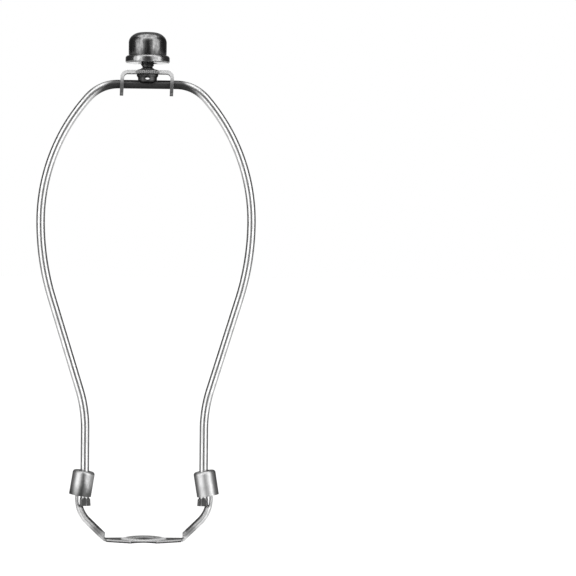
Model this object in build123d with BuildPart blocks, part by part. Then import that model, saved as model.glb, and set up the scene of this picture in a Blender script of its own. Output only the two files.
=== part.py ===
from build123d import *
from math import acos, atan2, cos, degrees, radians, sin, sqrt
import os

# Lamp harp with its saddle, in millimetres.
# The origin is the centre of the saddle's hole, on the underside of the boss round it.
# The harp stands along +Z and its loop lies in the XZ plane, so that +Y looks through it.

# Harp wire: a closed-top loop of round steel wire
wire_diameter = 4.1
crown_height = 216.4            # centre line of the top run above the origin
harp_width = 99.8               # between centre lines at the widest place
leg_spacing = 56.3              # between the centre lines of the two legs
top_run = 27.4                  # straight run that carries the shade rest
corner_radius = 18.8
upper_radius = 88.4
leg_length = 36.6               # upright leg above the notch
slope_length = 45.4             # straight run of the lower sides
bend_share = 0.335              # share of the lower curves that turns the leg into the slope

# Wire foot: the pressed-flat end that stands in the saddle's notch
foot_thickness = 3.2
foot_outward = 0.3              # how far the pressed end spreads past the wire, outwards
foot_inward = 0.85              # and inwards
foot_height = 3.9
foot_corner = 1.1

# Saddle: stamped from sheet, with a ring for the lamp's pipe and two channel arms
saddle_thickness = 1.5
pipe_hole_diameter = 10.9
boss_radius = 10.6
boss_rise = 0.45
boss_flank = 2.2                # width of the sloping flank round the boss
facet_width = 12.0              # flat cut across the front of the ring
facet_distance = 8.65
strip_back = 3.5                # where the strip's back edge meets the ring
arm_width = 5.6
arm_depth = 3.2                 # from the web's outer face to the edge of the side walls
arm_corner = 2.2                # outer rounding between the web and the side walls
arm_angle = 44.0                # slope of the arm above level
arm_curve = 16.0                # outer radius where the arm turns upright
arm_gap = 0.9                   # between the upright web and the wire
arm_bend = 3.0                  # outer radius of the bend at the end of the flat strip
wall_setback = 0.5              # the arm's side walls begin this far inside the bend
notch_height = 16.5             # floor of the notch that the foot stands on
notch_corner = 1.2
upright_above_notch = 3.05      # the web has turned upright this far above the notch
tongue_length = 14.1            # web above the notch, inside the ferrule
tip_corner = 1.2

# Ferrules: drawn cups that lock the legs to the arms
ferrule_diameter = 10.5
ferrule_length = 11.8
ferrule_wall = 0.65
ferrule_edge = 1.3
ferrule_lean = 9.2              # the ferrules lean in at the top
ferrule_clearance = 0.3         # to the wire and to the top of the foot
ferrule_hole_diameter = 5.5

# Shade rest: a strip bent into a bridge, with a round platform in its middle
rest_thickness = 1.6
rest_width = 7.0
rest_span = 25.2                # over the outer faces of the two tabs
rest_rise = 4.95                # underside of the bridge above the wire's centre line
rest_drop = 5.4                 # ends of the tabs below the wire's centre line
rest_bend = 3.4
tab_lean = 0.5                  # both tab ends stand this far to the left of the bridge's ends
tab_corner = 2.5
swivel_clearance = 0.1
platform_diameter = 12.8
platform_edge = 1.3             # height of the serrated edge
platform_rise = 0.65            # middle of the platform above the strip
dome_fullness = 0.6             # share of the slope's rise that it has halfway in
platform_crown = 7.0            # diameter of the flat on top of the dome
serration_count = 40
serration_depth = 0.35

# Stud: threaded, staked through the bridge, with a grooved collar that rides on the wire
thread_diameter = 6.35
thread_length = 10.0
neck_diameter = 4.9
neck_length = 1.5
thread_chamfer = 0.5
staking_diameter = 6.2
staking_height = 0.6
shank_diameter = 5.4
shank_clearance = 0.05
collar_diameter = 10.2
collar_waist = 9.0
collar_foot = 8.0
collar_band = 0.9
collar_overlap = 1.1            # bottom of the collar above the wire's centre line
groove_clearance = 0.3
sight_hole_width = 2.2
sight_hole_height = 1.5

# Finial: a drawn cap crimped round a threaded nut
finial_diameter = 18.0
finial_height = 14.55
finial_gap = 2.9                # underside of the finial above the platform
cap_wall = 0.8
crown_flat = 5.6                # diameter of the nearly flat top
dome_height = 4.95
crown_bulge = 0.06
rim_diameter = 20.9
rim_height = 3.45
rim_shoulder = 1.25             # rounding of the rim's upper edge
rim_roll = 0.7                  # rounding of its lower edge
nut_clearance = 0.05
hub_diameter = 11.5
hub_height = 7.5
recess_diameter = 9.3
recess_depth = 1.1
thread_clearance = 0.055

os.makedirs("parts", exist_ok=True)

# Sizes worked out from those above
wire_radius = wire_diameter / 2
leg_x = leg_spacing / 2
shoulder_angle = degrees(
    acos((top_run / 2 + upper_radius - harp_width / 2) / (upper_radius - corner_radius))
)
leg_top = notch_height + leg_length
widest_height = (
    crown_height
    - corner_radius * (1 - sin(radians(shoulder_angle)))
    - upper_radius * sin(radians(shoulder_angle))
)
# The lower side is an arc, a straight slope and an arc back, from the leg to the widest place.
# Both arcs turn by the same angle, so the rise, the spread and the slope fix the sum of their radii.
side_rise = widest_height - leg_top
side_spread = harp_width / 2 - leg_x
curve_radii = (side_rise**2 + side_spread**2 - slope_length**2) / (2 * side_spread)
bend_radius = curve_radii * bend_share
lower_radius = curve_radii - bend_radius
taper_angle = degrees(
    atan2(side_rise, curve_radii - side_spread) - atan2(slope_length, curve_radii)
)
arm_x = leg_x + wire_radius + arm_gap + saddle_thickness
rise = radians(arm_angle)
strip_bottom = -boss_rise
curve_start_x = arm_x - arm_curve * (1 - sin(rise))
curve_start_z = notch_height + upright_above_notch - arm_curve * cos(rise)
bend_x = curve_start_x - (curve_start_z - strip_bottom) * cos(rise) / sin(rise)
bend_tangent = arm_bend * (1 - cos(rise)) / sin(rise)
strip_end = bend_x - bend_tangent
back_x = sqrt(boss_radius**2 - strip_back**2)


# Harp wire
with BuildPart() as harp_wire:
    with BuildLine(Plane.XZ) as half_loop:
        leg = Line((leg_x, notch_height), (leg_x, leg_top))
        splay = JernArc(leg @ 1, leg % 1, bend_radius, -taper_angle)
        slope = Line(splay @ 1, splay @ 1 + (splay % 1) * slope_length)
        belly = JernArc(slope @ 1, slope % 1, lower_radius, taper_angle)
        shoulder = JernArc(belly @ 1, belly % 1, upper_radius, shoulder_angle)
        corner = JernArc(shoulder @ 1, shoulder % 1, corner_radius, 90 - shoulder_angle)
        Line(corner @ 1, corner @ 1 - (top_run / 2, 0, 0))
    with BuildSketch(Plane.XY.offset(notch_height)):
        with Locations((leg_x, 0)):
            Circle(wire_radius)
    sweep(path=half_loop.wire())
    # The end of the leg is pressed flat, front and back, and spreads sideways
    with BuildSketch(Plane.XY.offset(notch_height)):
        with Locations((leg_x, 0)):
            Rectangle(2 * wire_diameter, 2 * wire_diameter)
            Rectangle(2 * wire_diameter, foot_thickness, mode=Mode.SUBTRACT)
    extrude(amount=foot_height, mode=Mode.SUBTRACT)
    with BuildSketch(Plane.XZ) as foot:
        foot_width = wire_diameter + foot_outward + foot_inward
        with Locations((leg_x - wire_radius - foot_inward, notch_height)):
            Rectangle(foot_width, foot_height, align=(Align.MIN, Align.MIN))
        lower_corners = foot.vertices().group_by(Axis.Y)[0]
        fillet(lower_corners.sort_by(Axis.X)[-1], foot_corner)
    extrude(amount=foot_thickness / 2, both=True)
    mirror(about=Plane.YZ)

harp_wire.part.label = "harp_wire"
export_step(harp_wire.part, "parts/harp_wire.step")


# Side walls of one arm, trimmed before they join the saddle
with BuildPart() as arm_walls:
    with BuildLine(Plane.XZ) as wall_line:
        incline = Line(
            (bend_x + bend_tangent * cos(rise), strip_bottom + bend_tangent * sin(rise)),
            (curve_start_x, curve_start_z),
        )
        JernArc(incline @ 1, incline % 1, arm_curve, 90 - arm_angle)
    with BuildSketch(Plane(origin=incline @ 0, x_dir=(0, 1, 0), z_dir=incline % 0)) as channel:
        Rectangle(arm_width, arm_depth, align=(Align.CENTER, Align.MIN))
        fillet(channel.vertices().group_by(Axis.Y)[0], arm_corner)
        with BuildSketch(mode=Mode.SUBTRACT) as groove:
            with Locations((0, saddle_thickness)):
                Rectangle(
                    arm_width - 2 * saddle_thickness, arm_depth, align=(Align.CENTER, Align.MIN)
                )
            fillet(groove.vertices().group_by(Axis.Y)[0], arm_corner - saddle_thickness)
    sweep(path=wall_line.wire())
    # Above the notch only the web goes on, and the walls stop short at the bend
    with BuildSketch(Plane.XZ) as trim:
        with Locations((0, notch_height)):
            Rectangle(arm_x - saddle_thickness, notch_height, align=(Align.MIN, Align.MIN))
        floor_corners = trim.vertices().group_by(Axis.Y)[0]
        fillet(floor_corners.sort_by(Axis.X)[-1], notch_corner)
        with Locations((0, strip_bottom)):
            Rectangle(bend_x - wall_setback, notch_height, align=(Align.MIN, Align.MIN))
    extrude(amount=arm_width, both=True, mode=Mode.SUBTRACT)


# Saddle
with BuildPart() as saddle:
    # Flat strip that widens towards the ring
    with BuildSketch(Plane.XY.offset(strip_bottom)):
        with BuildLine():
            Polyline(
                (-strip_end, -arm_width / 2),
                (-facet_width / 2, -facet_distance),
                (facet_width / 2, -facet_distance),
                (strip_end, -arm_width / 2),
                (strip_end, arm_width / 2),
                (back_x, strip_back),
                (-back_x, strip_back),
                (-strip_end, arm_width / 2),
                close=True,
            )
        make_face()
        Circle(boss_radius)
    extrude(amount=saddle_thickness)
    # Boss raised round the hole, hollow underneath by the same amount
    strip_top = strip_bottom + saddle_thickness
    for base, mode in ((strip_top, Mode.ADD), (strip_bottom, Mode.SUBTRACT)):
        with BuildSketch(Plane.XY.offset(base)):
            Circle(boss_radius)
        with BuildSketch(Plane.XY.offset(base + boss_rise)):
            Circle(boss_radius - boss_flank)
        loft(mode=mode)
    with BuildSketch(Plane.XY.offset(strip_bottom)):
        with Locations((0, -facet_distance)):
            Rectangle(4 * boss_radius, boss_radius, align=(Align.CENTER, Align.MAX))
    extrude(amount=2 * saddle_thickness, mode=Mode.SUBTRACT)
    Hole(pipe_hole_diameter / 2)
    # Web of the arm, from the end of the strip to the tip
    with BuildLine(Plane.XZ) as web_line:
        bend = JernArc((strip_end, strip_bottom), (1, 0), arm_bend, arm_angle)
        incline = Line(bend @ 1, (curve_start_x, curve_start_z))
        upturn = JernArc(incline @ 1, incline % 1, arm_curve, 90 - arm_angle)
        Line(upturn @ 1, (arm_x, notch_height + tongue_length))
    with BuildSketch(Plane(origin=bend @ 0, x_dir=(0, 1, 0), z_dir=bend % 0)) as web:
        Rectangle(arm_width, arm_depth, align=(Align.CENTER, Align.MIN))
        fillet(web.vertices().group_by(Axis.Y)[0], arm_corner)
        with Locations((0, saddle_thickness)):
            Rectangle(
                arm_width, arm_depth, align=(Align.CENTER, Align.MIN), mode=Mode.SUBTRACT
            )
    sweep(path=web_line.wire())
    # The tip's corners are rounded
    with BuildSketch(Plane.YZ.offset(arm_x - arm_curve / 2)):
        with Locations((0, notch_height + tongue_length)):
            Rectangle(2 * arm_width, 2 * tip_corner)
            Rectangle(arm_width, 2 * tip_corner, align=(Align.CENTER, Align.MAX), mode=Mode.SUBTRACT)
    extrude(amount=arm_curve, mode=Mode.SUBTRACT)
    add(arm_walls.part)
    mirror(about=Plane.YZ)

saddle.part.label = "saddle"
export_step(saddle.part, "parts/saddle.step")


# Ferrules: each leans in at the top and stands just clear of the foot's inner shoulder
lean = radians(ferrule_lean)
ferrule_inner = ferrule_diameter / 2 - ferrule_wall
mouth_x = leg_x - wire_radius - ferrule_clearance + ferrule_inner * cos(lean)
mouth_z = (
    notch_height
    + foot_height
    + ferrule_clearance
    + ferrule_diameter / 2 * sin(lean)
)
for side, name in ((-1, "ferrule_left"), (1, "ferrule_right")):
    mouth = (side * mouth_x, 0, mouth_z)
    across = (cos(lean), 0, side * sin(lean))
    upward = (-side * sin(lean), 0, cos(lean))
    with BuildPart() as ferrule:
        with BuildSketch(Plane(origin=mouth, x_dir=across, z_dir=(0, -1, 0))) as cup:
            Rectangle(ferrule_diameter / 2, ferrule_length, align=(Align.MIN, Align.MIN))
            top_corners = cup.vertices().group_by(Axis.Y)[-1]
            fillet(top_corners.sort_by(Axis.X)[-1], ferrule_edge)
            with BuildSketch(mode=Mode.SUBTRACT) as hollow:
                Rectangle(
                    ferrule_inner, ferrule_length - ferrule_wall, align=(Align.MIN, Align.MIN)
                )
                inner_corners = hollow.vertices().group_by(Axis.Y)[-1]
                fillet(inner_corners.sort_by(Axis.X)[-1], ferrule_edge - ferrule_wall)
            Rectangle(
                ferrule_hole_diameter / 2,
                ferrule_length,
                align=(Align.MIN, Align.MIN),
                mode=Mode.SUBTRACT,
            )
        revolve(axis=Axis(mouth, upward))
    ferrule.part.label = name
    export_step(ferrule.part, f"parts/{name}.step")


# Shade rest
bridge_bottom = crown_height + rest_rise
bridge_top = bridge_bottom + rest_thickness
platform_rim_top = bridge_bottom + platform_edge
platform_top = bridge_top + platform_rise
tab_end = crown_height - rest_drop
tab_x = rest_span / 2 - rest_thickness / 2

with BuildPart() as rest_strip:
    # Strip bent down into a tab at each end
    with BuildSketch(Plane.XZ):
        with BuildLine():
            FilletPolyline(
                (-tab_x - tab_lean, tab_end - rest_thickness),
                (-tab_x, bridge_top - rest_thickness / 2),
                (tab_x, bridge_top - rest_thickness / 2),
                (tab_x - tab_lean, tab_end - rest_thickness),
                radius=rest_bend - rest_thickness / 2,
            )
        trace(line_width=rest_thickness)
    extrude(amount=rest_width / 2, both=True)
    with BuildSketch(Plane.YZ) as tab_outline:
        with Locations((0, tab_end)):
            Rectangle(rest_width, bridge_top - tab_end, align=(Align.CENTER, Align.MIN))
        fillet(tab_outline.vertices().group_by(Axis.Y)[0], tab_corner)
    extrude(amount=rest_span, both=True, mode=Mode.INTERSECT)

with BuildPart() as shade_rest:
    # Round platform, domed on top and serrated round its rim
    with BuildSketch(Plane.XZ):
        with BuildLine():
            dome = ThreePointArc(
                (platform_crown / 2, platform_top),
                (
                    (platform_crown + platform_diameter) / 4,
                    platform_rim_top + (platform_top - platform_rim_top) * dome_fullness,
                ),
                (platform_diameter / 2, platform_rim_top),
            )
            Polyline(
                dome @ 1,
                (platform_diameter / 2, bridge_bottom),
                (0, bridge_bottom),
                (0, platform_top),
                dome @ 0,
            )
        make_face()
    revolve(axis=Axis.Z)
    with BuildSketch(Plane.XY.offset(bridge_bottom)):
        with PolarLocations(platform_diameter / 2, serration_count):
            RegularPolygon(serration_depth, 4)
    extrude(amount=platform_top - bridge_bottom, mode=Mode.SUBTRACT)
    add(rest_strip.part)
    # Holes for the stud's shank and, in the tabs, for the wire
    with BuildSketch(Plane.XY.offset(bridge_bottom)):
        Circle(shank_diameter / 2 + shank_clearance)
    extrude(amount=platform_top - bridge_bottom, mode=Mode.SUBTRACT)
    with BuildSketch(Plane.YZ):
        with Locations((0, crown_height)):
            Circle(wire_radius + swivel_clearance)
    extrude(amount=rest_span, both=True, mode=Mode.SUBTRACT)

shade_rest.part.label = "shade_rest"
export_step(shade_rest.part, "parts/shade_rest.step")


# Stud
thread_start = platform_top + staking_height + neck_length
collar_bottom = crown_height + collar_overlap

with BuildPart() as stud:
    with BuildSketch(Plane.XZ) as turned:
        with BuildLine():
            Polyline(
                (0, collar_bottom),
                (collar_foot / 2, collar_bottom),
                (collar_waist / 2, collar_bottom + collar_band),
                (collar_waist / 2, bridge_bottom - 2 * collar_band),
                (collar_diameter / 2, bridge_bottom - collar_band),
                (collar_diameter / 2, bridge_bottom),
                (shank_diameter / 2, bridge_bottom),
                (shank_diameter / 2, platform_top),
                (staking_diameter / 2, platform_top),
                (staking_diameter / 2, platform_top + staking_height / 2),
                (neck_diameter / 2, platform_top + staking_height),
                (neck_diameter / 2, thread_start - neck_length / 4),
                (thread_diameter / 2, thread_start),
                (thread_diameter / 2, thread_start + thread_length - thread_chamfer),
                (thread_diameter / 2 - thread_chamfer, thread_start + thread_length),
                (0, thread_start + thread_length),
                close=True,
            )
        make_face()
    revolve(axis=Axis.Z)
    # Groove that rides on the wire, and the small sight hole above it
    with BuildSketch(Plane.YZ):
        with Locations((0, crown_height)):
            Circle(wire_radius + groove_clearance)
    extrude(amount=collar_diameter, both=True, mode=Mode.SUBTRACT)
    with BuildSketch(Plane.XZ):
        with Locations((0, crown_height + wire_radius + sight_hole_height / 2)):
            Ellipse(sight_hole_width / 2, sight_hole_height / 2)
    extrude(amount=collar_diameter, both=True, mode=Mode.SUBTRACT)

stud.part.label = "stud"
export_step(stud.part, "parts/stud.step")


# Finial cap: drawn in one piece, with a rim that closes round the nut
underside = platform_top + finial_gap
cap_top = underside + finial_height
dome_base = cap_top - dome_height
cap_radius = finial_diameter / 2
inner_radius = cap_radius - cap_wall
rim_radius = rim_diameter / 2
shelf = underside + rim_height - cap_wall

with BuildPart() as finial_cap:
    with BuildSketch(Plane.XZ):
        with BuildLine():
            Line((0, cap_top), (crown_flat / 2, cap_top - crown_bulge))
            EllipticalCenterArc(
                (crown_flat / 2, dome_base),
                cap_radius - crown_flat / 2,
                dome_height - crown_bulge,
                arc_size=90,
            )
            Polyline(
                (cap_radius, dome_base),
                (cap_radius, underside + rim_height),
                (rim_radius - rim_shoulder, underside + rim_height),
            )
            RadiusArc(
                (rim_radius - rim_shoulder, underside + rim_height),
                (rim_radius, underside + rim_height - rim_shoulder),
                rim_shoulder,
            )
            Line((rim_radius, underside + rim_height - rim_shoulder), (rim_radius, underside + rim_roll))
            RadiusArc(
                (rim_radius, underside + rim_roll), (rim_radius - rim_roll, underside), rim_roll
            )
            Polyline(
                (rim_radius - rim_roll, underside),
                (rim_radius - cap_wall, underside),
                (rim_radius - cap_wall, shelf),
                (inner_radius, shelf),
                (inner_radius, dome_base),
            )
            EllipticalCenterArc(
                (crown_flat / 2, dome_base),
                inner_radius - crown_flat / 2,
                dome_height - crown_bulge - cap_wall,
                arc_size=90,
            )
            Polyline(
                (crown_flat / 2, cap_top - crown_bulge - cap_wall),
                (0, cap_top - cap_wall),
                (0, cap_top),
            )
        make_face()
    revolve(axis=Axis.Z)

finial_cap.part.label = "finial_cap"
export_step(finial_cap.part, "parts/finial_cap.step")


# Finial nut: a plate with a threaded hub, recessed round the stud
plate_radius = rim_radius - cap_wall - nut_clearance
bore_radius = thread_diameter / 2 + thread_clearance

with BuildPart() as finial_nut:
    with BuildSketch(Plane.XZ):
        with BuildLine():
            Polyline(
                (recess_diameter / 2, underside),
                (plate_radius, underside),
                (plate_radius, shelf - nut_clearance),
                (hub_diameter / 2, shelf - nut_clearance),
                (hub_diameter / 2, underside + hub_height),
                (bore_radius, underside + hub_height),
                (bore_radius, underside + recess_depth),
                (recess_diameter / 2 - recess_depth / 2, underside + recess_depth),
                close=True,
            )
        make_face()
    revolve(axis=Axis.Z)

finial_nut.part.label = "finial_nut"
export_step(finial_nut.part, "parts/finial_nut.step")
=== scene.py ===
from math import cos, pi, radians, sin

import bmesh
import bpy
import numpy as np
from mathutils import Matrix, Vector


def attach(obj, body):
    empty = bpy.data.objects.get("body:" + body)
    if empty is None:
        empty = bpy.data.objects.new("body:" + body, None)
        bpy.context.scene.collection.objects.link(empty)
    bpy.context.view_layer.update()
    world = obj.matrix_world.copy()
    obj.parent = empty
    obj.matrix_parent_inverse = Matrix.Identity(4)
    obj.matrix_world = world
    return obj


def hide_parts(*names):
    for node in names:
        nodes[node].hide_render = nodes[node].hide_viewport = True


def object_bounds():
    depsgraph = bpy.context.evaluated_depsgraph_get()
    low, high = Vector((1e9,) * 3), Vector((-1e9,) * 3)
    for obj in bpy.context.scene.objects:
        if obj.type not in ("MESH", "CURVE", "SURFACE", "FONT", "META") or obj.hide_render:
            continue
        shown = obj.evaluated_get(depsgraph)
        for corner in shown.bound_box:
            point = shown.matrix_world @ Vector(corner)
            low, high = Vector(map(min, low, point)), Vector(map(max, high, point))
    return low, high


# Lamp harp with its saddle, in metres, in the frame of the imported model.

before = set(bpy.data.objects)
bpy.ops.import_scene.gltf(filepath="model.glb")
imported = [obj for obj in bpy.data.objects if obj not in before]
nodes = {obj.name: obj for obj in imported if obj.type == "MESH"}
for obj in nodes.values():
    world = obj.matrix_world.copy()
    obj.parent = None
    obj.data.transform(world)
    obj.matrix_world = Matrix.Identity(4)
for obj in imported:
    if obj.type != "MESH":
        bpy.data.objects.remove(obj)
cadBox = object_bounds()
mm = 0.001


# Small helpers for node trees

def addNode(tree, kind, **values):
    node = tree.nodes.new(kind)
    for name, value in values.items():
        setattr(node, name, value)
    return node


def feed(tree, socket, value):
    # Link an output to a socket, or set a plain value
    if isinstance(value, bpy.types.NodeSocket):
        tree.links.new(value, socket)
    else:
        socket.default_value = value


def setInputs(tree, node, **values):
    for name, value in values.items():
        feed(tree, node.inputs[name], value)
    return node


def mathNode(tree, operation, *values, clamp=False):
    node = addNode(tree, "ShaderNodeMath", operation=operation, use_clamp=clamp)
    for socket, value in zip(node.inputs, values):
        feed(tree, socket, value)
    return node.outputs[0]


def total(tree, first, *others):
    for other in others:
        first = mathNode(tree, "ADD", first, other)
    return first


def product(tree, first, *others):
    for other in others:
        first = mathNode(tree, "MULTIPLY", first, other)
    return first


def highest(tree, first, *others):
    for other in others:
        first = mathNode(tree, "MAXIMUM", first, other)
    return first


def less(tree, first, second):
    return mathNode(tree, "SUBTRACT", first, second)


def absolute(tree, value):
    return mathNode(tree, "ABSOLUTE", value)


def distanceOf(tree, *values):
    # Square root of the sum of the squares
    squares = [mathNode(tree, "POWER", value, 2.0) for value in values]
    return mathNode(tree, "SQRT", total(tree, *squares))


def alongSlope(tree, over, up, angle):
    # Distance along a line that rises at an angle
    return total(tree, product(tree, over, cos(angle)), product(tree, up, sin(angle)))


def vectorNode(tree, operation, first, second):
    node = addNode(tree, "ShaderNodeVectorMath", operation=operation)
    feed(tree, node.inputs[0], first)
    feed(tree, node.inputs[1], second)
    return node.outputs


def rangeNode(tree, value, low, high, toLow=0.0, toHigh=1.0):
    # Soft step from one limit to the other, which may be the lower one
    node = addNode(tree, "ShaderNodeMapRange", interpolation_type="SMOOTHSTEP")
    limits = {"From Min": low, "From Max": high, "To Min": toLow, "To Max": toHigh}
    for name, amount in {"Value": value, **limits}.items():
        feed(tree, node.inputs[name], amount)
    return node.outputs["Result"]


def band(tree, value, low, high, fade):
    # Mask that rises above the low limit and falls again above the high one
    rise = rangeNode(tree, value, low, low + fade)
    return product(tree, rise, rangeNode(tree, value, high + fade, high))


# Sockets of a mix node by kind: both values, then the result
mixSockets = {"FLOAT": (2, 3, 0), "RGBA": (6, 7, 2)}


def mixNode(tree, kind, mask, first, second):
    node = addNode(tree, "ShaderNodeMix", data_type=kind)
    one, other, result = mixSockets[kind]
    for place, value in ((0, mask), (one, first), (other, second)):
        feed(tree, node.inputs[place], value)
    return node.outputs[result]


def noiseNode(tree, place, **values):
    noise = addNode(tree, "ShaderNodeTexNoise")
    return setInputs(tree, noise, Vector=place, **values).outputs["Fac"]


def axesOf(tree, kind="Object"):
    # X, Y and Z of a point in the object's own coordinates, or of its normal
    parts = addNode(tree, "ShaderNodeSeparateXYZ")
    feed(tree, parts.inputs[0], addNode(tree, "ShaderNodeTexCoord").outputs[kind])
    return parts.outputs


def grey(level):
    return (level, level, level, 1.0)


def newGroup(name, inputs, outputs):
    # Node group whose inputs are given by their starting values, tuples for vectors
    group = bpy.data.node_groups.new(name, "ShaderNodeTree")
    for label, value in inputs.items():
        kind = "NodeSocketVector" if isinstance(value, tuple) else "NodeSocketFloat"
        socket = group.interface.new_socket(label, in_out="INPUT", socket_type=kind)
        socket.default_value = value
    for label, kind in outputs.items():
        group.interface.new_socket(label, in_out="OUTPUT", socket_type=kind)
    entry = addNode(group, "NodeGroupInput")
    leave = addNode(group, "NodeGroupOutput")
    return group, entry.outputs, leave.inputs


def placeGroup(tree, group, **values):
    return setInputs(tree, addNode(tree, "ShaderNodeGroup", node_tree=group), **values).outputs


# Effects that several finishes share

effectLook = {
    "cloudDetail": 5.0, "cloudRough": 0.62, "cloudWarp": 0.4,
    "markDetail": 3.0, "markRough": 0.55,
    "bevelSamples": 6, "edgeWearAndShade": (0.985, 0.93),
    "facing": (0.75, 0.9), "tornSize": 0.5 * mm, "tornReach": 0.5 * mm, "tornDetail": 3.0,
    "wanderDetail": 4.0, "wanderRough": 0.6,
}


def makeMottle():
    # Cloudy mask: noise cut softly between two levels
    group, given, out = newGroup(
        "antiqueMottle", {"Size": 2 * mm, "Low": 0.4, "High": 0.6}, {"Mask": "NodeSocketFloat"},
    )
    cloud = noiseNode(
        group, addNode(group, "ShaderNodeTexCoord").outputs["Object"],
        Scale=mathNode(group, "DIVIDE", 1.0, given["Size"]), Detail=effectLook["cloudDetail"],
        Roughness=effectLook["cloudRough"], Distortion=effectLook["cloudWarp"],
    )
    feed(group, out["Mask"], rangeNode(group, cloud, given["Low"], given["High"]))
    return group


def makeGrain():
    # Fine tool marks: noise on stretched coordinates, from minus one half to one half
    group, given, out = newGroup(
        "toolMarks", {"Stretch": (1, 1, 1), "Size": 0.2 * mm}, {"Height": "NodeSocketFloat"},
    )
    place = addNode(group, "ShaderNodeTexCoord").outputs["Object"]
    marks = noiseNode(
        group, vectorNode(group, "MULTIPLY", place, given["Stretch"])["Vector"],
        Scale=mathNode(group, "DIVIDE", 1.0, given["Size"]),
        Detail=effectLook["markDetail"], Roughness=effectLook["markRough"],
    )
    feed(group, out["Height"], less(group, marks, 0.5))
    return group


def makeEdge():
    # Rounded edge: the normal of a small bevel, and a mask of where it leaves the true normal
    group, given, out = newGroup(
        "softEdge", {"Width": 0.2 * mm}, {"Mask": "NodeSocketFloat", "Normal": "NodeSocketVector"},
    )
    bevel = addNode(group, "ShaderNodeBevel", samples=effectLook["bevelSamples"])
    feed(group, bevel.inputs["Radius"], given["Width"])
    flat = addNode(group, "ShaderNodeNewGeometry").outputs["Normal"]
    across = vectorNode(group, "DOT_PRODUCT", bevel.outputs["Normal"], flat)["Value"]
    feed(group, out["Mask"], rangeNode(group, across, *effectLook["edgeWearAndShade"]))
    feed(group, out["Normal"], bevel.outputs["Normal"])
    return group


def makeTorn():
    # Cut edge of sheet: a mask of faces that look along one axis, and a mask of their lower part, below a
    # wandering line
    group, given, out = newGroup(
        "tornSheet",
        {"Axis": (0, 1, 0), "Low": 0.0, "High": 1.0, "Break": 0.0, "Soft": 0.06 * mm},
        {"Cut": "NodeSocketFloat", "LowerPart": "NodeSocketFloat"},
    )
    place = addNode(group, "ShaderNodeTexCoord").outputs
    along = vectorNode(group, "DOT_PRODUCT", place["Normal"], given["Axis"])["Value"]
    facing = rangeNode(group, absolute(group, along), *effectLook["facing"])
    height = axesOf(group)["Z"]
    above = mathNode(group, "GREATER_THAN", height, given["Low"])
    below = mathNode(group, "LESS_THAN", height, given["High"])
    sheet = product(group, facing, above, below)
    feed(group, out["Cut"], sheet)
    ragged = noiseNode(
        group, place["Object"], Scale=1 / effectLook["tornSize"], Detail=effectLook["tornDetail"],
    )
    wander = product(group, less(group, ragged, 0.5), effectLook["tornReach"])
    line = total(group, given["Break"], wander)
    upper, lower = total(group, line, given["Soft"]), less(group, line, given["Soft"])
    feed(group, out["LowerPart"], product(group, sheet, rangeNode(group, height, upper, lower)))
    return group


mottle, grain, edge, torn = makeMottle(), makeGrain(), makeEdge(), makeTorn()


def roughen(tree, value, size, reach):
    # Value moved up and down by noise, so that a mask's edge wanders
    noise = noiseNode(
        tree, addNode(tree, "ShaderNodeTexCoord").outputs["Object"], Scale=1 / size,
        Detail=effectLook["wanderDetail"], Roughness=effectLook["wanderRough"],
    )
    return total(tree, value, product(tree, less(tree, noise, 0.5), reach))


def insideOf(tree, radius):
    # Mask of everything nearer to the upright axis than the radius
    axes = axesOf(tree)
    return mathNode(tree, "LESS_THAN", distanceOf(tree, axes["X"], axes["Y"]), radius)


baseLook = {
    "light": 0.72, "dark": 0.5, "edge": 0.8, "tint": 1.0,
    "cloudSize": 3 * mm, "cloudLow": 0.4, "cloudHigh": 0.65,
    "smooth": 0.2, "rough": 0.3, "glossMarks": 0.15,
    "markStretch": (1, 1, 1), "markSize": 0.15 * mm, "markStrength": 0.25, "markDepth": 0.02 * mm,
    "edgeWidth": 0.15 * mm, "stainAndShade": 0.12, "stainAndShadeRough": 0.45,
}


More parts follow.
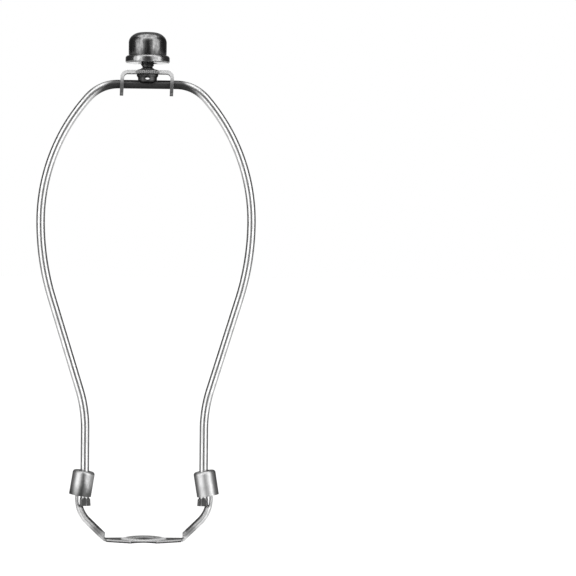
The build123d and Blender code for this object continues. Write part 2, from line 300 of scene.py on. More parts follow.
def platedMetal(name, look, patches=None):
    # Plated metal: two greys by a cloudy mask, cut faces, patches of stain and painted light, edges worn
    # light or, on the saddle, painted dark as shade, and tool marks in gloss and relief
    material = bpy.data.materials.new(name)
    material.use_nodes = True
    tree = material.node_tree
    tree.nodes.clear()
    shader = addNode(tree, "ShaderNodeBsdfPrincipled")
    surface = addNode(tree, "ShaderNodeOutputMaterial")
    feed(tree, surface.inputs["Surface"], shader.outputs["BSDF"])
    shader.inputs["Metallic"].default_value = 1.0
    shader.inputs["Specular Tint"].default_value = grey(look["tint"])
    cloud = placeGroup(
        tree, mottle, Size=look["cloudSize"], Low=look["cloudLow"], High=look["cloudHigh"],
    )["Mask"]
    marks = placeGroup(tree, grain, Stretch=look["markStretch"], Size=look["markSize"])["Height"]
    width = look["edgeWidth"]
    if "roundWidth" in look:
        # Pressed channels look round: a wider rounding away from the middle, which widens the edge colour
        # too
        far = absolute(tree, axesOf(tree)["X"])
        width = rangeNode(tree, far, *look["roundFrom"], width, look["roundWidth"])
    edgeWearAndShade = placeGroup(tree, edge, Width=width)
    colour = mixNode(tree, "RGBA", cloud, grey(look["light"]), grey(look["dark"]))
    gloss = mixNode(tree, "FLOAT", cloud, look["smooth"], look["rough"])
    if "cut" in look:
        sheet = placeGroup(tree, torn, **look["cut"])
        colour = mixNode(tree, "RGBA", sheet["Cut"], colour, grey(look["cutLight"]))
        colour = mixNode(tree, "RGBA", sheet["LowerPart"], colour, grey(look["cutDark"]))
        gloss = mixNode(tree, "FLOAT", sheet["Cut"], gloss, look["cutRough"])
    for mask, level, roughness in patches(tree) if patches else ():
        colour = mixNode(tree, "RGBA", mask, colour, grey(level))
        gloss = mixNode(tree, "FLOAT", mask, gloss, roughness)
    colour = mixNode(tree, "RGBA", edgeWearAndShade["Mask"], colour, grey(look["edge"]))
    feed(tree, shader.inputs["Base Color"], colour)
    gloss = mathNode(tree, "ADD", gloss, product(tree, marks, look["glossMarks"]), clamp=True)
    feed(tree, shader.inputs["Roughness"], gloss)
    relief = setInputs(
        tree, addNode(tree, "ShaderNodeBump"), Strength=look["markStrength"],
        Distance=look["markDepth"], Height=marks, Normal=edgeWearAndShade["Normal"],
    )
    feed(tree, shader.inputs["Normal"], relief.outputs["Normal"])
    return material


def dress(name, material):
    piece = nodes[name]
    piece.data.materials.clear()
    piece.data.materials.append(material)


# New surfaces: grids of points made into meshes

weldDistance = 1e-7


def smoothStep(value, low, high):
    # 0 below low, 1 above high, with a soft S between
    share = np.clip((value - low) / (high - low), 0, 1)
    return share * share * (3 - 2 * share)


def gridFaces(rows, columns):
    # Quads between the rows of a grid whose columns run round and close
    here = np.arange(columns)
    after = (here + 1) % columns
    start = np.arange(rows - 1)[:, None] * columns
    quads = (start + here, start + after, start + after + columns, start + here + columns)
    return np.stack(quads, axis=-1).reshape(-1, 4).tolist()


def roundedGrid(points):
    # Vertices and faces of a tube of points whose first and last rows are closed with one flat face each
    rows, columns = points.shape[:2]
    faces = gridFaces(rows, columns)
    faces.append(list(range(columns))[::-1])
    faces.append(list(range((rows - 1) * columns, rows * columns)))
    return points.reshape(-1, 3), faces


def turned(profile, columns):
    # Profile of radius and height carried round the upright axis: x = radius cos a, y = radius sin a
    radius, height = np.asarray(profile, float).T
    angle = np.linspace(0, 2 * pi, columns, endpoint=False)
    x = radius[:, None] * np.cos(angle)
    y = radius[:, None] * np.sin(angle)
    z = np.broadcast_to(height[:, None], x.shape)
    return np.stack((x, y, z), axis=-1)


def arc(centre, reach, start, stop, count):
    # Points on an ellipse from one angle to another: centre + reach times (cos a, sin a)
    angle = np.radians(np.linspace(start, stop, count))
    x = centre[0] + reach[0] * np.cos(angle)
    return np.column_stack((x, centre[1] + reach[1] * np.sin(angle)))


def summed(steps):
    # Running total that starts at nought
    return np.concatenate(([0.0], np.cumsum(steps)))


def makeMesh(name, points, faces, sharpAngle):
    mesh = bpy.data.meshes.new(name)
    mesh.from_pydata((np.asarray(points) * mm).tolist(), [], faces)
    shell = bmesh.new()
    shell.from_mesh(mesh)
    bmesh.ops.remove_doubles(shell, verts=shell.verts, dist=weldDistance)
    bmesh.ops.recalc_face_normals(shell, faces=shell.faces)
    shell.to_mesh(mesh)
    shell.free()
    mesh.shade_smooth()
    mesh.set_sharp_from_angle(angle=radians(sharpAngle))
    mesh.validate()
    return mesh


def placePiece(name, mesh, material, body, slot, *stoodFor):
    piece = bpy.data.objects.new(name, mesh)
    bpy.context.scene.collection.objects.link(piece)
    mesh.materials.append(material)
    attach(piece, body)
    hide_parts(*stoodFor)
    return piece


# Harp wire, in millimetres until it becomes a mesh

wireShape = {
    "radius": 2.05, "legX": 28.15, "footZ": 16.5, "leg": 36.6, "slope": 45.4, "bendRadius": 62.43,
    "lowerRadius": 123.935, "taper": 17.1943, "upperRadius": 88.4, "shoulder": 41.41,
    "cornerRadius": 18.8, "halfRun": 13.7, "step": 0.4, "around": 40, "sharpAngle": 50,
    "footHeight": 3.9, "footBlend": 0.9, "footOut": 0.3, "footIn": 0.85, "footHalf": 1.6,
    "footSquare": 0.36, "footTaper": 0.3, "flashStart": 1.7, "flashEnd": 2.2, "flashThin": 0.45,
}
wireLook = {
    **baseLook, "light": 0.66, "dark": 0.58, "smooth": 0.29, "rough": 0.36,
    "stainAndShade": 0.09, "stainAndShadeRough": 0.42, "crownTilt": 4.5 * mm, "crownWander": (4 * mm, 4 * mm),
    "crownReach": (24.0 * mm, 18.5 * mm), "crownHeight": 190 * mm,
    "footDark": (20.8 * mm, 20.2 * mm), "flangeX": 27.0 * mm, "flangeEdge": (0.1 * mm, -0.1 * mm),
    "panelEdge": (0.25 * mm, 0.55 * mm), "panelShade": (0.1, 0.66),
}


def wireLine(shape):
    # One side from foot to crown: the sum of short steps, each turned by its length over the bend's radius
    taper, shoulder = radians(shape["taper"]), radians(shape["shoulder"])
    stretches = (
        (shape["leg"], 0.0),
        (shape["bendRadius"] * taper, -1 / shape["bendRadius"]),
        (shape["slope"], 0.0),
        (shape["lowerRadius"] * taper, 1 / shape["lowerRadius"]),
        (shape["upperRadius"] * shoulder, 1 / shape["upperRadius"]),
        (shape["cornerRadius"] * (pi / 2 - shoulder), 1 / shape["cornerRadius"]),
        (shape["halfRun"], 0.0),
    )
    counts = [round(length / shape["step"]) for length, bend in stretches]
    step = np.repeat([length / count for (length, bend), count in zip(stretches, counts)], counts)
    bend = np.repeat([bend for length, bend in stretches], counts)
    turn = summed(step * bend)
    middle = (turn[1:] + turn[:-1]) / 2
    x = shape["legX"] - summed(step * np.sin(middle))
    z = shape["footZ"] + summed(step * np.cos(middle))
    return x, z, turn, summed(step)


def bothSides(half, sign):
    # One side's values, then the other's from the crown back down
    return np.concatenate((half, sign * half[-2::-1]))


def makeWire(shape, material):
    # The section is carried along the line. It is round, and near the ends it blends to a pressed
    # foot: a square-cornered oval that reaches further inwards, where it thins to a flash
    x, z, turn, length = wireLine(shape)
    middle = np.zeros(2 * len(x) - 1)
    line = np.stack((bothSides(x, -1), middle, bothSides(z, 1)), axis=-1)
    outward = np.stack((bothSides(np.cos(turn), -1), middle, bothSides(np.sin(turn), 1)), axis=-1)
    fromEnd = bothSides(length, 1)[:, None]
    angle = np.linspace(0, 2 * pi, shape["around"], endpoint=False)
    radius, square = shape["radius"], shape["footSquare"]
    pressed = 1 - smoothStep(fromEnd, shape["footHeight"] - shape["footBlend"], shape["footHeight"])
    side = np.sign(np.cos(angle)) * np.abs(np.cos(angle)) ** square
    face = np.sign(np.sin(angle)) * np.abs(np.sin(angle)) ** square
    spread = 1 - shape["footTaper"] * np.clip(fromEnd / shape["footHeight"], 0, 1)
    reach = radius + np.where(np.cos(angle) > 0, shape["footOut"], shape["footIn"]) * spread
    footAcross = reach * side
    flash = smoothStep(-footAcross, shape["flashStart"], shape["flashEnd"])
    thin = 1 - shape["flashThin"] * flash
    across = (1 - pressed) * radius * np.cos(angle) + pressed * footAcross
    through = (1 - pressed) * radius * np.sin(angle) + pressed * shape["footHalf"] * face * thin
    points = line[:, None] + across[..., None] * outward[:, None]
    points[..., 1] += through
    mesh = makeMesh("bentWire", *roundedGrid(points), shape["sharpAngle"])
    placePiece("bentWire", mesh, material, "harp", "wire_steel", "harp_wire")


def wireDarkening(tree):
    # The crown is darker, further out on its underside. Each pressed foot, down in the saddle's channel,
    # has painted shade: a grey panel and a dark flange inside it, with a thin light line between them
    look, axes = wireLook, axesOf(tree)
    far = absolute(tree, axes["X"])
    sideways = total(tree, far, product(tree, axesOf(tree, "Normal")["Z"], look["crownTilt"]))
    crown = rangeNode(tree, roughen(tree, sideways, *look["crownWander"]), *look["crownReach"])
    crown = product(tree, crown, mathNode(tree, "GREATER_THAN", axes["Z"], look["crownHeight"]))
    foot = rangeNode(tree, axes["Z"], *look["footDark"])
    past = less(tree, far, look["flangeX"])
    panel = rangeNode(tree, past, *look["panelEdge"], *look["panelShade"])
    flange = rangeNode(tree, past, *look["flangeEdge"])
    foot = product(tree, foot, highest(tree, panel, flange))
    return [(highest(tree, crown, foot), look["stainAndShade"], look["stainAndShadeRough"])]


makeWire(wireShape, platedMetal("wire_finish", wireLook, wireDarkening))
print("wire done")


# Stud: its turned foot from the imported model, and a cut thread above the neck

studShape = {
    "threadRadius": 3.175, "rootRadius": 2.85, "neckRadius": 2.7, "pitch": 0.9407,
    "ridge": (0.08, 0.86), "cut": 225.0, "overlap": 0.05, "fadeFrom": 224.85, "fadeTo": 225.8,
    "top": 235.7, "chamfer": 0.5, "step": 0.055, "around": 72,
    "weld": 1e-6, "threadAngle": 60, "sharpAngle": 40,
}
studLook = {
    **baseLook, "light": 0.1, "dark": 0.04, "edge": 0.16, "smooth": 0.45, "rough": 0.6, "tint": 0.25,
}


def makeThread(shape):
    # Radius by height and angle: a rounded ridge wherever height over pitch less angle over a turn is
    # half way between whole numbers, faded in above the neck and cut off by the top's chamfer
    height = np.arange(shape["cut"], shape["top"] + shape["step"] / 2, shape["step"])[:, None]
    angle = np.linspace(0, 2 * pi, shape["around"], endpoint=False)
    phase = (height / shape["pitch"] - angle / (2 * pi)) % 1
    ridge = smoothStep(1 - np.abs(2 * phase - 1), *shape["ridge"])
    rise = smoothStep(height, shape["fadeFrom"], shape["fadeTo"])
    root = shape["neckRadius"] + (shape["rootRadius"] - shape["neckRadius"]) * rise
    radius = root + (shape["threadRadius"] - root) * ridge * rise
    chamfer = shape["threadRadius"] - shape["chamfer"] + (shape["top"] - height)
    radius = np.minimum(radius, chamfer)
    return np.stack((radius * np.cos(angle), radius * np.sin(angle), height + 0 * angle), axis=-1)


def makeStud(shape, material):
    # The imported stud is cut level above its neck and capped, and the thread is set on it
    points, faces = roundedGrid(makeThread(shape))
    thread = makeMesh("studThread", points, faces, shape["threadAngle"])
    shell = bmesh.new()
    shell.from_mesh(nodes["stud"].data)
    bmesh.ops.remove_doubles(shell, verts=shell.verts, dist=shape["weld"])
    everything = shell.verts[:] + shell.edges[:] + shell.faces[:]
    level = (0, 0, (shape["cut"] + shape["overlap"]) * mm)
    bmesh.ops.bisect_plane(
        shell, geom=everything, plane_co=level, plane_no=(0, 0, 1), clear_outer=True,
    )
    bmesh.ops.contextual_create(shell, geom=[e for e in shell.edges if e.is_boundary])
    shell.from_mesh(thread)
    mesh = bpy.data.meshes.new("threadedStud")
    shell.to_mesh(mesh)
    shell.free()
    mesh.shade_smooth()
    mesh.set_sharp_from_angle(angle=radians(shape["sharpAngle"]))
    placePiece("threadedStud", mesh, material, "swivel", "stud_dark", "stud")


makeStud(studShape, platedMetal("stud_finish", studLook))
print("stud done")


# Finial cap, spun in one piece, with a fine groove where the side meets the rim

capShape = {
    "top": 241.05, "crownRadius": 2.8, "crownDrop": 0.06, "domeBase": 236.1, "radius": 9.0,
    "wall": 0.8, "rimRadius": 10.45, "rimTop": 229.95, "shoulder": 1.25, "roll": 0.7,
    "underside": 226.5, "tip": 0.001, "sideRow": 3.0,
    "groove": 0.16, "grooveRows": (0.45, 0.2, 0.08), "grooveLip": 0.05,
    "domeSteps": 22, "shoulderSteps": 10, "rollSteps": 8, "innerSteps": 12,
    "around": 112, "sharpAngle": 42,
}
capLook = {
    **baseLook, "light": 0.4, "dark": 0.22, "edge": 0.5, "cloudSize": 1.6 * mm,
    "smooth": 0.2, "rough": 0.3, "stainAndShade": 0.07, "stainAndShadeRough": 0.28,
    "markStretch": (1, 1, 0.12), "markSize": 0.25 * mm, "markStrength": 0.12,
    "grooveLevel": 229.95 * mm, "sideFade": (232.95 * mm, 230.25 * mm), "side": 0.56,
    "streak": 1.6, "streakSize": 0.8 * mm, "streakStretch": (1, 1, 0.15),
    "domeFade": (237.4 * mm, 237.9 * mm), "domeLift": -0.3, "wander": (1.5 * mm, 1.4 * mm),
}


def capProfile(shape):
    # Outside from the crown over the dome, side, groove and rim to the underside, then inside back up
    side, crown, wall = shape["radius"], shape["crownRadius"], shape["wall"]
    top, rimTop, low = shape["top"], shape["rimTop"], shape["underside"]
    rim, shoulder, roll = shape["rimRadius"], shape["shoulder"], shape["roll"]
    dome, shelf, sunk = (crown, shape["domeBase"]), rimTop - wall, side - shape["groove"]
    wide, high = side - crown, top - shape["crownDrop"] - shape["domeBase"]
    upper, middle, lower = shape["grooveRows"]
    return np.vstack((
        [(shape["tip"], top), (crown / 2, top - shape["crownDrop"] / 4)],
        arc(dome, (wide, high), 90, 0, shape["domeSteps"]),
        [(side, rimTop + shape["sideRow"]), (side, rimTop + upper), (sunk, rimTop + middle),
         (sunk, rimTop + lower), (side + shape["grooveLip"], rimTop)],
        arc((rim - shoulder, rimTop - shoulder), (shoulder, shoulder), 90, 0, shape["shoulderSteps"]),
        arc((rim - roll, low + roll), (roll, roll), 0, -90, shape["rollSteps"]),
        [(rim - wall, low), (rim - wall, shelf), (side - wall, shelf)],
        arc(dome, (wide - wall, high - wall), 0, 90, shape["innerSteps"]),
        [(shape["tip"], top - wall)],
    ))


def makeCap(shape, material):
    points, faces = roundedGrid(turned(capProfile(shape), shape["around"]))
    mesh = makeMesh("spunCap", points, faces, shape["sharpAngle"])
    placePiece("spunCap", mesh, material, "finial", "finial_pewter", "finial_cap")


def capStain(tree):
    # Side and dome antiqued darker than the rim, in upright streaks, and darkest in the groove
    look, height = capLook, axesOf(tree)["Z"]
    level = roughen(tree, height, *look["wander"])
    side = rangeNode(tree, level, *look["sideFade"], look["side"], 1.0)
    dome = rangeNode(tree, level, *look["domeFade"], 0.0, look["domeLift"])
    streak = placeGroup(
        tree, grain, Stretch=look["streakStretch"], Size=look["streakSize"],
    )["Height"]
    streak = product(tree, streak, look["streak"])
    amount = mathNode(tree, "ADD", total(tree, side, dome), streak, clamp=True)
    mask = product(tree, amount, mathNode(tree, "GREATER_THAN", height, look["grooveLevel"]))
    return [(mask, look["stainAndShade"], look["stainAndShadeRough"])]


makeCap(capShape, platedMetal("cap_finish", capLook, capStain))
print("cap done")


# Finishes of the pieces that keep their imported shape: the saddle

# The saddle's near-black edge colour is painted shade along its edges, widest round the arms
saddleLook = {
    **baseLook, "light": 0.88, "dark": 0.7, "edge": 0.05, "cloudSize": 4 * mm,
    "smooth": 0.46, "rough": 0.56, "stainAndShade": 0.03,
    "edgeWidth": 0.5 * mm, "roundFrom": (19.5 * mm, 21.5 * mm), "roundWidth": 1.6 * mm,
    "cut": {"Axis": (0, 1, 0), "Low": -0.46 * mm, "High": 1.56 * mm, "Break": 0.2 * mm},
    "cutLight": 0.6, "cutDark": 0.1, "cutRough": 0.72,
    "bend": (22.5 * mm, 4.4 * mm), "bendReach": (4.6 * mm, 1.1 * mm), "bendDarkShare": 0.55,
    "bendWander": (1.2 * mm, 5 * mm),
    "strip": (10.2 * mm, 20.0 * mm), "stripFade": 1 * mm, "stripGrey": 0.25, "upward": (0.8, 0.9),
    "flank": (8.3 * mm, 10.7 * mm), "flankLow": 0.7 * mm, "flankGrey": 0.9, "flankRough": 0.8,
    "forward": (-0.8, -0.95), "facetHalf": 6.1 * mm, "facetLine": (0.62 * mm, 0.5 * mm),
    "facetWander": (0.5 * mm, 0.3 * mm), "facetGrey": 0.12,
    "holeRadius": 5.6 * mm, "shearLine": (0.65 * mm, 0.85 * mm),
    "shearWander": (1.5 * mm, 0.3 * mm), "shearGrey": 0.6, "shearRough": 0.8,
    "armSlope": 44.0, "armCentre": (16.6 * mm, 19.55 * mm), "armRadius": 16.0 * mm,
    "armFrom": (19.8 * mm, 20.2 * mm), "armWander": (0.8 * mm, 0.3 * mm),
    "rim": (2.75 * mm, 3.0 * mm), "rimGrey": 0.17,
    "armReflectionLine": (1.3 * mm, 1.6 * mm), "armReflectionFade": 0.3 * mm, "armReflectionGrey": 0.4,
}


def armDepth(tree):
    # Depth below an arm's outer face: the bend's radius less the distance from the bend's centre, which
    # slides back along the slope for points before the bend
    axes, slope = axesOf(tree), radians(saddleLook["armSlope"])
    centreX, centreZ = saddleLook["armCentre"]
    over, up = less(tree, absolute(tree, axes["X"]), centreX), less(tree, axes["Z"], centreZ)
    slide = mathNode(tree, "MINIMUM", alongSlope(tree, over, up, slope), 0.0)
    over = less(tree, over, product(tree, slide, cos(slope)))
    up = less(tree, up, product(tree, slide, sin(slope)))
    return less(tree, saddleLook["armRadius"], distanceOf(tree, over, up))


def saddleMarksAndPaintedLight(tree):
    # Grey line along each arm as a painted dark reflection and a dark rim along it as painted shade, dark
    # mottled patch round its bend, painted dark reflection on the top of the strip, painted highlight on
    # the flank of the boss, dark lower edge under the front facet, and the hole's wall, sheared bright
    # above and painted shade below
    look, axes, normal = saddleLook, axesOf(tree), axesOf(tree, "Normal")
    far = absolute(tree, axes["X"])
    arm = rangeNode(tree, far, *look["armFrom"])
    depth = roughen(tree, armDepth(tree), *look["armWander"])
    armReflectionLine = product(tree, arm, band(tree, depth, *look["armReflectionLine"], look["armReflectionFade"]))
    rim = product(tree, arm, rangeNode(tree, depth, *look["rim"]))
    bendX, bendZ = look["bend"]
    away = distanceOf(tree, less(tree, far, bendX), less(tree, axes["Z"], bendZ))
    away = roughen(tree, away, *look["bendWander"])
    patch = rangeNode(tree, away, *look["bendReach"], 0.0, look["bendDarkShare"])
    level = rangeNode(tree, normal["Z"], *look["upward"])
    strip = product(tree, level, band(tree, far, *look["strip"], look["stripFade"]))
    inner, outer = look["flank"]
    ring = less(tree, insideOf(tree, outer), insideOf(tree, inner))
    flank = product(tree, ring, mathNode(tree, "GREATER_THAN", axes["Z"], look["flankLow"]))
    low = rangeNode(tree, roughen(tree, axes["Z"], *look["facetWander"]), *look["facetLine"])
    facet = product(tree, rangeNode(tree, normal["Y"], *look["forward"]), low)
    facet = product(tree, facet, mathNode(tree, "LESS_THAN", far, look["facetHalf"]))
    hole = insideOf(tree, look["holeRadius"])
    high = rangeNode(tree, roughen(tree, axes["Z"], *look["shearWander"]), *look["shearLine"])
    return [
        (armReflectionLine, look["armReflectionGrey"], look["stainAndShadeRough"]),
        (rim, look["rimGrey"], look["stainAndShadeRough"]),
        (patch, look["stainAndShade"], look["stainAndShadeRough"]),
        (strip, look["stripGrey"], look["stainAndShadeRough"]),
        (flank, look["flankGrey"], look["flankRough"]),
        (facet, look["facetGrey"], look["cutRough"]),
        (hole, look["stainAndShade"], look["stainAndShadeRough"]),
        (product(tree, hole, high), look["shearGrey"], look["shearRough"]),
    ]


dress("saddle", platedMetal("saddle_finish", saddleLook, saddleMarksAndPaintedLight))


# The ferrules: the left one has the stronger patch and a darker mouth, the right one darker sides, all
# painted dark reflections

ferruleLook = {
    **baseLook, "light": 0.6, "dark": 0.52, "smooth": 0.42, "rough": 0.48, "tint": 0.35,
    "markStretch": (1, 1, 0.06), "stainAndShade": 0.08, "stainAndShadeRough": 0.45,
    "patch": 0.8, "patchX": 28.6 * mm, "patchWide": 2.1 * mm, "patchHeight": (32.0 * mm, 21.0 * mm),
    "patchEdge": (1.2 * mm, -1.0 * mm), "patchWander": (1.2 * mm, 1.6 * mm),
    "patchFront": (-1.0 * mm, -3.0 * mm),
    "mouth": 0.95, "mouthGrey": 0.18, "mouthHeight": (28.5 * mm, 20.5 * mm),
    "mouthWander": (2.5 * mm, 1.5 * mm),
    "sides": 0.0, "sideGrey": 0.24, "sideReach": (2.5 * mm, 4.2 * mm),
    "sideWander": (2.0 * mm, 0.8 * mm), "sideShift": 0.6 * mm,
    "lean": 9.2, "middle": (29.5 * mm, 27.3 * mm),
}
rightFerruleLook = {
    **ferruleLook, "light": 0.74, "dark": 0.66, "smooth": 0.5, "rough": 0.56, "tint": 0.1,
    "patch": 0.12, "mouth": 0.0, "sides": 0.9,
}


def ferruleReflections(side, look):
    # Painted dark reflections: a darker mouth and sides, and a grey patch on the front, wide at the mouth
    # and narrowing upwards
    def stainAndShade(tree):
        axes, (middleX, middleZ) = axesOf(tree), look["middle"]
        out = product(tree, axes["X"], side)
        height = roughen(tree, axes["Z"], *look["mouthWander"])
        mouth = rangeNode(tree, height, *look["mouthHeight"], 0.0, look["mouth"])
        over, up = less(tree, out, middleX), less(tree, axes["Z"], middleZ)
        across = alongSlope(tree, over, up, radians(look["lean"]))
        across = absolute(tree, total(tree, across, look["sideShift"]))
        across = roughen(tree, across, *look["sideWander"])
        sides = rangeNode(tree, across, *look["sideReach"], 0.0, look["sides"])
        room = rangeNode(tree, axes["Z"], *look["patchHeight"])
        room = product(tree, room, look["patchWide"])
        gap = less(tree, absolute(tree, less(tree, out, look["patchX"])), room)
        gap = roughen(tree, gap, *look["patchWander"])
        patch = rangeNode(tree, gap, *look["patchEdge"], 0.0, look["patch"])
        patch = product(tree, patch, rangeNode(tree, axes["Y"], *look["patchFront"]))
        return [
            (mouth, look["mouthGrey"], look["stainAndShadeRough"]),
            (sides, look["sideGrey"], look["rough"]),
            (patch, look["stainAndShade"], look["stainAndShadeRough"]),
        ]
    return stainAndShade


for name, side, look in (("ferrule_left", -1, ferruleLook), ("ferrule_right", 1, rightFerruleLook)):
    dress(name, platedMetal(name + "_finish", look, ferruleReflections(side, look)))


# The shade rest

restLook = {
    **baseLook, "light": 0.42, "dark": 0.18, "edge": 0.26, "smooth": 0.56, "rough": 0.66,
    "cloudSize": 1.2 * mm, "cutLight": 0.74, "cutDark": 0.16, "cutRough": 0.66,
    "cut": {
        "Axis": (0, 1, 0), "Low": 200 * mm, "High": 223.0 * mm, "Break": 218.3 * mm,
        "Soft": 2.6 * mm,
    },
    "platformRadius": 6.6 * mm, "platformEdge": (222.75 * mm, 222.3 * mm), "platformGrey": 0.36,
}


def restPlatformEdge(tree):
    # Serrated edge of the platform, duller than the bridge's cut faces
    below = rangeNode(tree, axesOf(tree)["Z"], *restLook["platformEdge"])
    mask = product(tree, insideOf(tree, restLook["platformRadius"]), below)
    return [(mask, restLook["platformGrey"], restLook["cutRough"])]


dress("shade_rest", platedMetal("rest_finish", restLook, restPlatformEdge))


# The nut

nutLook = {
    **baseLook, "light": 0.92, "dark": 0.85, "smooth": 0.2, "rough": 0.26,
    "stainAndShade": 0.03, "stainAndShadeRough": 0.6, "recess": 4.65 * mm,
}


def nutShadeAndStain(tree):
    # The sunk middle of the nut, in shadow and tarnished
    return [(insideOf(tree, nutLook["recess"]), nutLook["stainAndShade"], nutLook["stainAndShadeRough"])]


dress("finial_nut", platedMetal("nut_finish", nutLook, nutShadeAndStain))
print("finishes done")


# Floor, backdrop, lights and camera

floorLook = {"size": 40.0, "drop": 0.12, "colour": 0.85, "white": 0.9}


def makeFloor():
    # Flat sheet under the object, white to the camera but for a faint share of its own shading
    half, level = floorLook["size"] / 2, -floorLook["drop"]
    mesh = bpy.data.meshes.new("floor")
    corners = [(-half, -half, level), (half, -half, level), (half, half, level), (-half, half, level)]
    mesh.from_pydata(corners, [], [(0, 1, 2, 3)])
    floor = bpy.data.objects.new("floor", mesh)
    bpy.context.scene.collection.objects.link(floor)
    material = bpy.data.materials.new("paleFloor")
    material.use_nodes = True
    tree = material.node_tree
    tree.nodes.clear()
    rays = addNode(tree, "ShaderNodeLightPath").outputs["Is Camera Ray"]
    paint = setInputs(tree, addNode(tree, "ShaderNodeBsdfDiffuse"), Color=grey(floorLook["colour"]))
    glow = setInputs(
        tree, addNode(tree, "ShaderNodeEmission"), Color=grey(1.0),
        Strength=product(tree, rays, floorLook["white"]),
    )
    lit = addNode(tree, "ShaderNodeAddShader")
    feed(tree, lit.inputs[0], paint.outputs[0])
    feed(tree, lit.inputs[1], glow.outputs[0])
    # Seen from below the floor lets the camera through
    under = addNode(tree, "ShaderNodeNewGeometry").outputs["Backfacing"]
    seen = addNode(tree, "ShaderNodeMixShader")
    feed(tree, seen.inputs[0], product(tree, rays, under))
    feed(tree, seen.inputs[1], lit.outputs[0])
    feed(tree, seen.inputs[2], addNode(tree, "ShaderNodeBsdfTransparent").outputs[0])
    surface = addNode(tree, "ShaderNodeOutputMaterial")
    feed(tree, surface.inputs["Surface"], seen.outputs[0])
    mesh.materials.append(material)
    floor.visible_glossy = False


softboxLook = {
    "strength": 1.3, "azimuth": 52.0, "distance": 0.75, "width": 0.64, "height": 1.2, "lift": 0.2,
}
panelLook = {"strength": 1.2, "rise": 0.5, "width": 0.6, "depth": 0.5, "back": -0.14}


def addLamp(name, place, aim, radiance, width, height):
    # Rectangular lamp turned towards a point: its power is four times its radiance times its area
    data = bpy.data.lights.new(name, "AREA")
    data.shape = "RECTANGLE"
    data.size, data.size_y = width, height
    data.energy = 4 * radiance * width * height
    lamp = bpy.data.objects.new(name, data)
    lamp.location = place
    lamp.rotation_euler = (aim - place).to_track_quat("-Z", "Y").to_euler()
    lamp.visible_camera = False
    bpy.context.scene.collection.objects.link(lamp)


def makeLights():
    # Two upright softboxes, left and right of the camera, and a small panel overhead
    centre = Vector((0, 0, (cadBox[0].z + cadBox[1].z) / 2))
    lift = Vector((0, 0, softboxLook["lift"]))
    turn = radians(softboxLook["azimuth"])
    for name, side in (("softboxLeft", -1), ("softboxRight", 1)):
        away = Vector((side * sin(turn), -cos(turn), 0)) * softboxLook["distance"]
        addLamp(name, centre + away + lift, centre + lift, softboxLook["strength"],
                softboxLook["width"], softboxLook["height"])
    above = centre + Vector((0, panelLook["back"], panelLook["rise"]))
    addLamp("topPanel", above, above - Vector((0, 0, 1)), panelLook["strength"],
            panelLook["width"], panelLook["depth"])


# Directions are those of a unit vector from the object; pairs are the limits of soft steps
worldLook = {
    "front": 0.05, "frontFloor": 0.16, "frontFade": (0.0, -0.5),
    "backdrop": 0.2, "floor": 1.0, "horizon": (-0.02, 0.04), "floorEnd": (-0.3, -0.2),
    "backWidth": (0.62, 0.38), "behind": (0.0, 0.3),
    "tent": 0.7, "tentFront": (-0.3, -0.5), "tentFloor": 0.2, "tentLow": (-0.05, 0.03),
    "gap": 0.31, "gapTop": 0.62, "gapEdge": (-0.04, 0.08),
    "wing": 0.85, "wingFrom": (0.2, 0.4), "wingLow": (-0.12, -0.28),
}


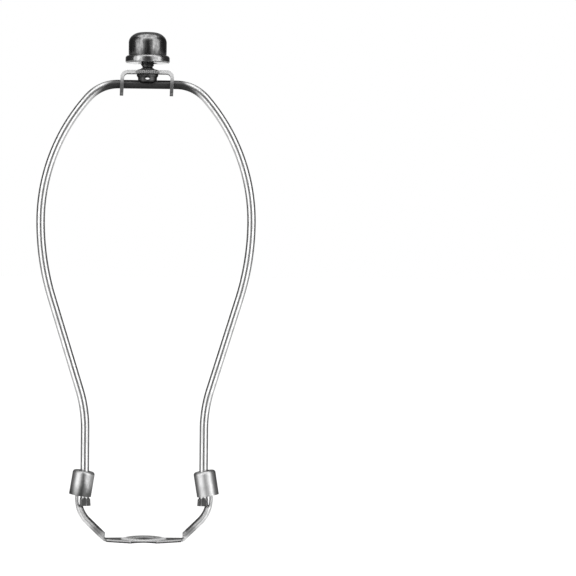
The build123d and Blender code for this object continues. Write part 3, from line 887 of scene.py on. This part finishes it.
def makeWorld():
    # White to the camera. To the metal it is dim, with a pale tent in front that leaves a dark gap round
    # the camera, narrowing upwards, and behind it a grey backdrop above a bright strip of floor
    world = bpy.data.worlds.new("studio")
    bpy.context.scene.world = world
    world.use_nodes = True
    tree, look = world.node_tree, worldLook
    tree.nodes.clear()
    parts = axesOf(tree, "Generated")
    sideways, depth, height = absolute(tree, parts["X"]), parts["Y"], parts["Z"]
    back = product(
        tree,
        rangeNode(tree, sideways, *look["backWidth"]),
        rangeNode(tree, depth, *look["behind"]),
        rangeNode(tree, height, *look["horizon"], look["floor"], look["backdrop"]),
        rangeNode(tree, height, *look["floorEnd"]),
    )
    # Half width of the dark gap: a parabola on its side, from the horizon to the gap's top
    rest = mathNode(tree, "SUBTRACT", 1.0, mathNode(tree, "DIVIDE", height, look["gapTop"]), clamp=True)
    gap = product(tree, mathNode(tree, "SQRT", rest), look["gap"])
    tent = product(
        tree,
        rangeNode(tree, less(tree, sideways, gap), *look["gapEdge"]),
        rangeNode(tree, height, *look["tentLow"], look["tentFloor"], 1.0),
        rangeNode(tree, depth, *look["tentFront"]),
        look["tent"],
    )
    # Lit floor to the left and right, below the softboxes
    wing = product(
        tree,
        rangeNode(tree, sideways, *look["wingFrom"]),
        rangeNode(tree, height, *look["wingLow"]),
        look["wing"],
    )
    dim = rangeNode(tree, height, *look["frontFade"], look["front"], look["frontFloor"])
    camera = addNode(tree, "ShaderNodeLightPath").outputs["Is Camera Ray"]
    light = setInputs(
        tree, addNode(tree, "ShaderNodeBackground"), Color=grey(1.0),
        Strength=highest(tree, back, tent, wing, dim, camera),
    )
    surface = addNode(tree, "ShaderNodeOutputWorld")
    feed(tree, surface.inputs["Surface"], light.outputs[0])


cameraLook = {
    "distance": 1.16, "height": 0.1398, "yaw": 3.334, "pitch": 0.949, "roll": 0.529,
    "lens": 152.63, "sensor": 36.0, "near": 0.05, "far": 20.0,
}


def makeCamera():
    # Straight in front, turned right and down a little, so that the harp stands left in the frame
    data = bpy.data.cameras.new("camera")
    data.lens, data.sensor_width = cameraLook["lens"], cameraLook["sensor"]
    data.clip_start, data.clip_end = cameraLook["near"], cameraLook["far"]
    camera = bpy.data.objects.new("camera", data)
    turn = (
        Matrix.Rotation(-radians(cameraLook["yaw"]), 4, "Z")
        @ Matrix.Rotation(pi / 2 - radians(cameraLook["pitch"]), 4, "X")
        @ Matrix.Rotation(radians(cameraLook["roll"]), 4, "Z")
    )
    place = Matrix.Translation((0, -cameraLook["distance"], cameraLook["height"]))
    camera.matrix_world = place @ turn
    bpy.context.scene.collection.objects.link(camera)
    bpy.context.scene.camera = camera


makeFloor()
makeLights()
makeWorld()
makeCamera()
bpy.context.scene.view_settings.view_transform = "Standard"
print("studio done")
